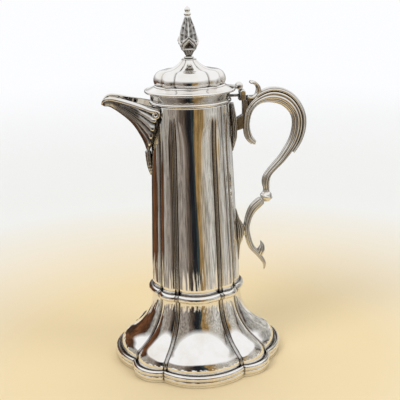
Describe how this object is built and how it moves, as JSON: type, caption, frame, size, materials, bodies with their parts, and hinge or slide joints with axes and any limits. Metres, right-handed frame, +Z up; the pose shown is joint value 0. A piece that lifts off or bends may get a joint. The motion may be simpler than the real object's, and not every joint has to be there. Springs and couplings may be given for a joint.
{
  "type": "lidded jug",
  "caption": "Tall silver-plated wine jug: lobed tapering barrel on a spreading lobed foot, shell spout, scroll handle and a hinged domed lid with a tall finial.",
  "frame": {"origin": "centre of the foot on the surface it stands on", "axes": "+Z up the jug's axis, +X towards the handle, the spout along -X"},
  "size_m": [0.2168, 0.186, 0.3805],
  "materials": {
    "silver_sheet": "polished silver plate, slightly warm with age",
    "silver_cast": "cast and chased silver plate, dark in the recesses",
    "brass_fixing": "plain turned brass"
  },
  "bodies": {
    "jug": {"foot_base_ring": "silver_sheet", "foot_rim": "silver_sheet", "foot_skirt": "silver_sheet", "waist_collar": "silver_sheet", "body_floor": "silver_sheet", "body_shell": "silver_sheet", "neck_band": "silver_sheet", "neck_bead": "silver_sheet", "spout_shell": "silver_cast", "spout_leaf": "silver_cast", "upper_socket": "silver_cast", "lower_socket": "silver_cast", "handle_upper": "silver_cast", "handle_back": "silver_cast", "handle_volute": "silver_cast", "handle_knop": "silver_cast", "handle_lower": "silver_cast", "handle_bud": "silver_cast", "hinge_fork": "silver_cast", "hinge_pin": "silver_cast"},
    "lid": {"lid_leaf": "silver_cast", "lid_thumb": "silver_cast", "lid_flange": "silver_sheet", "lid_bezel": "silver_sheet", "lid_dome": "silver_sheet", "finial_seat": "silver_cast", "finial_base": "silver_cast", "finial_body": "silver_cast", "finial_knop": "silver_cast", "finial_stud": "brass_fixing", "finial_washer": "brass_fixing", "finial_nut": "brass_fixing"}
  },
  "joints": [
    {"name": "lid_hinge", "type": "hinge", "parent": "jug", "child": "lid", "pos_m": [0.0546, 0, 0.2913], "axis": [0, 1, 0], "range_deg": [0, 85]}
  ]
}
